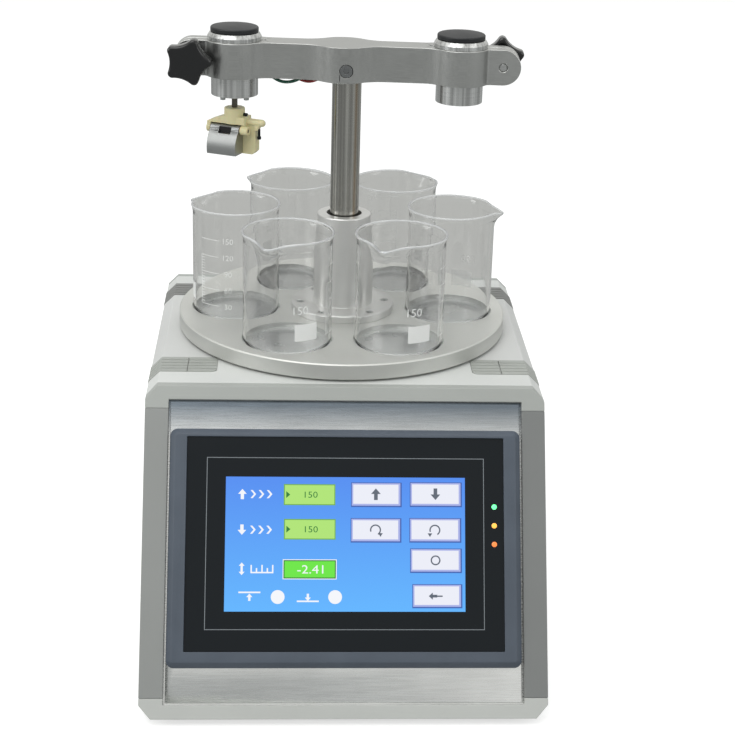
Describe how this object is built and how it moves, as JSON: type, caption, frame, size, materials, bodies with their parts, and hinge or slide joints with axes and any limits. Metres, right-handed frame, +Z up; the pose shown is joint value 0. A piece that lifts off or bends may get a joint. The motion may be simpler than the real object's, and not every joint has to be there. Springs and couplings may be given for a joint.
{
  "type": "dip coater",
  "caption": "Rotary dip coater: console case with touch panel, turntable with beakers, and a lifting two-headed arm with a sample clamp.",
  "frame": {"origin": "on the floor under the middle of the footprint", "axes": "+X to the object's right seen from the front, +Y to its back, +Z up"},
  "size_m": [0.2606, 0.3442, 0.4003],
  "materials": {
    "cover_paint": "satin",
    "rail_paint": "satin",
    "post_paint": "satin",
    "panel_aluminium": "brushed",
    "insert_plastic": "matte",
    "bezel_plastic": "satin",
    "black_glass": "gloss",
    "screen": "lit",
    "lamp_lens": "lit",
    "black_plastic": "matte",
    "rubber": "matte",
    "anodised": "satin",
    "machined": "machined",
    "steel": "polished",
    "dark_screw": "black oxide",
    "cream_plastic": "satin",
    "borosilicate": "clear",
    "green_lead": "gloss",
    "red_lead": "gloss",
    "board": "matte",
    "zinc": "zinc",
    "bronze": "satin",
    "motor_black": "satin"
  },
  "bodies": {
    "chassis": {"base_tray": "cover_paint", "rubber_feet": "rubber", "side_panel_left": "cover_paint", "side_panel_right": "cover_paint", "inserts_front": "insert_plastic", "inserts_rear": "insert_plastic", "top_band_front": "cover_paint", "top_band_rear": "cover_paint", "top_cover": "cover_paint", "front_top_rail": "rail_paint", "front_bottom_rail": "rail_paint", "front_left_post": "post_paint", "front_right_post": "post_paint", "front_panel": "panel_aluminium", "display_bezel": "bezel_plastic", "display_glass": "black_glass", "display_screen": "screen", "status_lamps": "lamp_lens", "display_case": "black_plastic", "rear_frame": "rail_paint", "rear_panel": "cover_paint", "panel_screws": "zinc", "power_entry": "black_plastic", "lift_plates": "machined", "lift_rods": "steel", "lift_bushings": "bronze", "lift_motor": "motor_black", "limit_switches": "black_plastic", "tray_bearing": "steel", "tray_motor": "zinc", "power_supply": "zinc", "control_board": "board"},
    "tray": {"tray_disc": "anodised", "tray_hub": "steel", "tray_sleeve": "anodised", "sleeve_screws": "zinc"},
    "tray_pinion": {"tray_pinion": "bronze"},
    "lift": {"column": "steel", "arm": "machined", "arm_screws": "dark_screw", "housing_left": "machined", "housing_right": "machined", "head_caps": "black_plastic", "spindle_motor": "zinc", "lead_green": "green_lead", "lead_red": "red_lead", "lift_carriage": "machined"},
    "lead_screw": {"lead_screw": "steel"},
    "spindle": {"clamp_body": "cream_plastic", "clamp_pins": "steel"},
    "jaw": {"clamp_jaw": "machined"},
    "knob_left": {"knob_left": "black_plastic"},
    "knob_right": {"knob_right": "black_plastic"},
    "rocker": {"power_rocker": "black_plastic"},
    "beaker_1": {"beaker_1": "borosilicate"},
    "beaker_2": {"beaker_2": "borosilicate"},
    "beaker_3": {"beaker_3": "borosilicate"},
    "beaker_4": {"beaker_4": "borosilicate"},
    "beaker_5": {"beaker_5": "borosilicate"},
    "beaker_6": {"beaker_6": "borosilicate"}
  },
  "joints": [
    {"name": "lift_slide", "type": "slide", "parent": "chassis", "child": "lift", "axis": [0, 0, -1], "range_m": [-0.03, 0.065]},
    {"name": "lead_screw_turn", "type": "hinge", "parent": "chassis", "child": "lead_screw", "pos_m": [0, 0.087, 0.09], "axis": [0, 0, 1], "range_deg": [-1400, 3000]},
    {"name": "tray_turn", "type": "hinge", "parent": "chassis", "child": "tray", "pos_m": [0, 0.057, 0.2013], "axis": [0, 0, 1], "continuous": true},
    {"name": "tray_pinion_turn", "type": "hinge", "parent": "chassis", "child": "tray_pinion", "pos_m": [0.057, 0.057, 0.1715], "axis": [0, 0, 1], "continuous": true},
    {"name": "spindle_turn", "type": "hinge", "parent": "lift", "child": "spindle", "pos_m": [-0.07634, 0.06194, 0.34], "axis": [0, 0, 1], "continuous": true},
    {"name": "jaw_open", "type": "hinge", "parent": "spindle", "child": "jaw", "pos_m": [-0.07813, 0.05792, 0.3285], "axis": [-0.9135, 0.4067, 0], "range_deg": [0, 35], "stiffness_Nm_per_rad": 0.02, "springref_deg": -17.19},
    {"name": "knob_left_turn", "type": "hinge", "parent": "lift", "child": "knob_left", "pos_m": [-0.10518, 0.0638, 0.37805], "axis": [-0.0645, -0.9979, 0], "range_deg": [0, 360]},
    {"name": "knob_right_turn", "type": "hinge", "parent": "lift", "child": "knob_right", "pos_m": [0.10518, 0.0502, 0.37805], "axis": [0.0645, 0.9979, 0], "range_deg": [0, 360]},
    {"name": "rocker_tip", "type": "hinge", "parent": "chassis", "child": "rocker", "pos_m": [-0.038, 0.154, 0.044], "axis": [-1, 0, 0], "range_deg": [0, 16]},
    {"name": "beaker_1_lift", "type": "slide", "parent": "tray", "child": "beaker_1", "axis": [0, 0, 1], "range_m": [0, 0.015]},
    {"name": "beaker_2_lift", "type": "slide", "parent": "tray", "child": "beaker_2", "axis": [0, 0, 1], "range_m": [0, 0.015]},
    {"name": "beaker_3_lift", "type": "slide", "parent": "tray", "child": "beaker_3", "axis": [0, 0, 1], "range_m": [0, 0.015]},
    {"name": "beaker_4_lift", "type": "slide", "parent": "tray", "child": "beaker_4", "axis": [0, 0, 1], "range_m": [0, 0.015]},
    {"name": "beaker_5_lift", "type": "slide", "parent": "tray", "child": "beaker_5", "axis": [0, 0, 1], "range_m": [0, 0.015]},
    {"name": "beaker_6_lift", "type": "slide", "parent": "tray", "child": "beaker_6", "axis": [0, 0, 1], "range_m": [0, 0.015]}
  ],
  "couplings": [
    {"joint": "lead_screw_turn", "follows": "lift_slide", "rad_per_m": 785.4},
    {"joint": "tray_pinion_turn", "follows": "tray_turn", "ratio": -3.75}
  ]
}
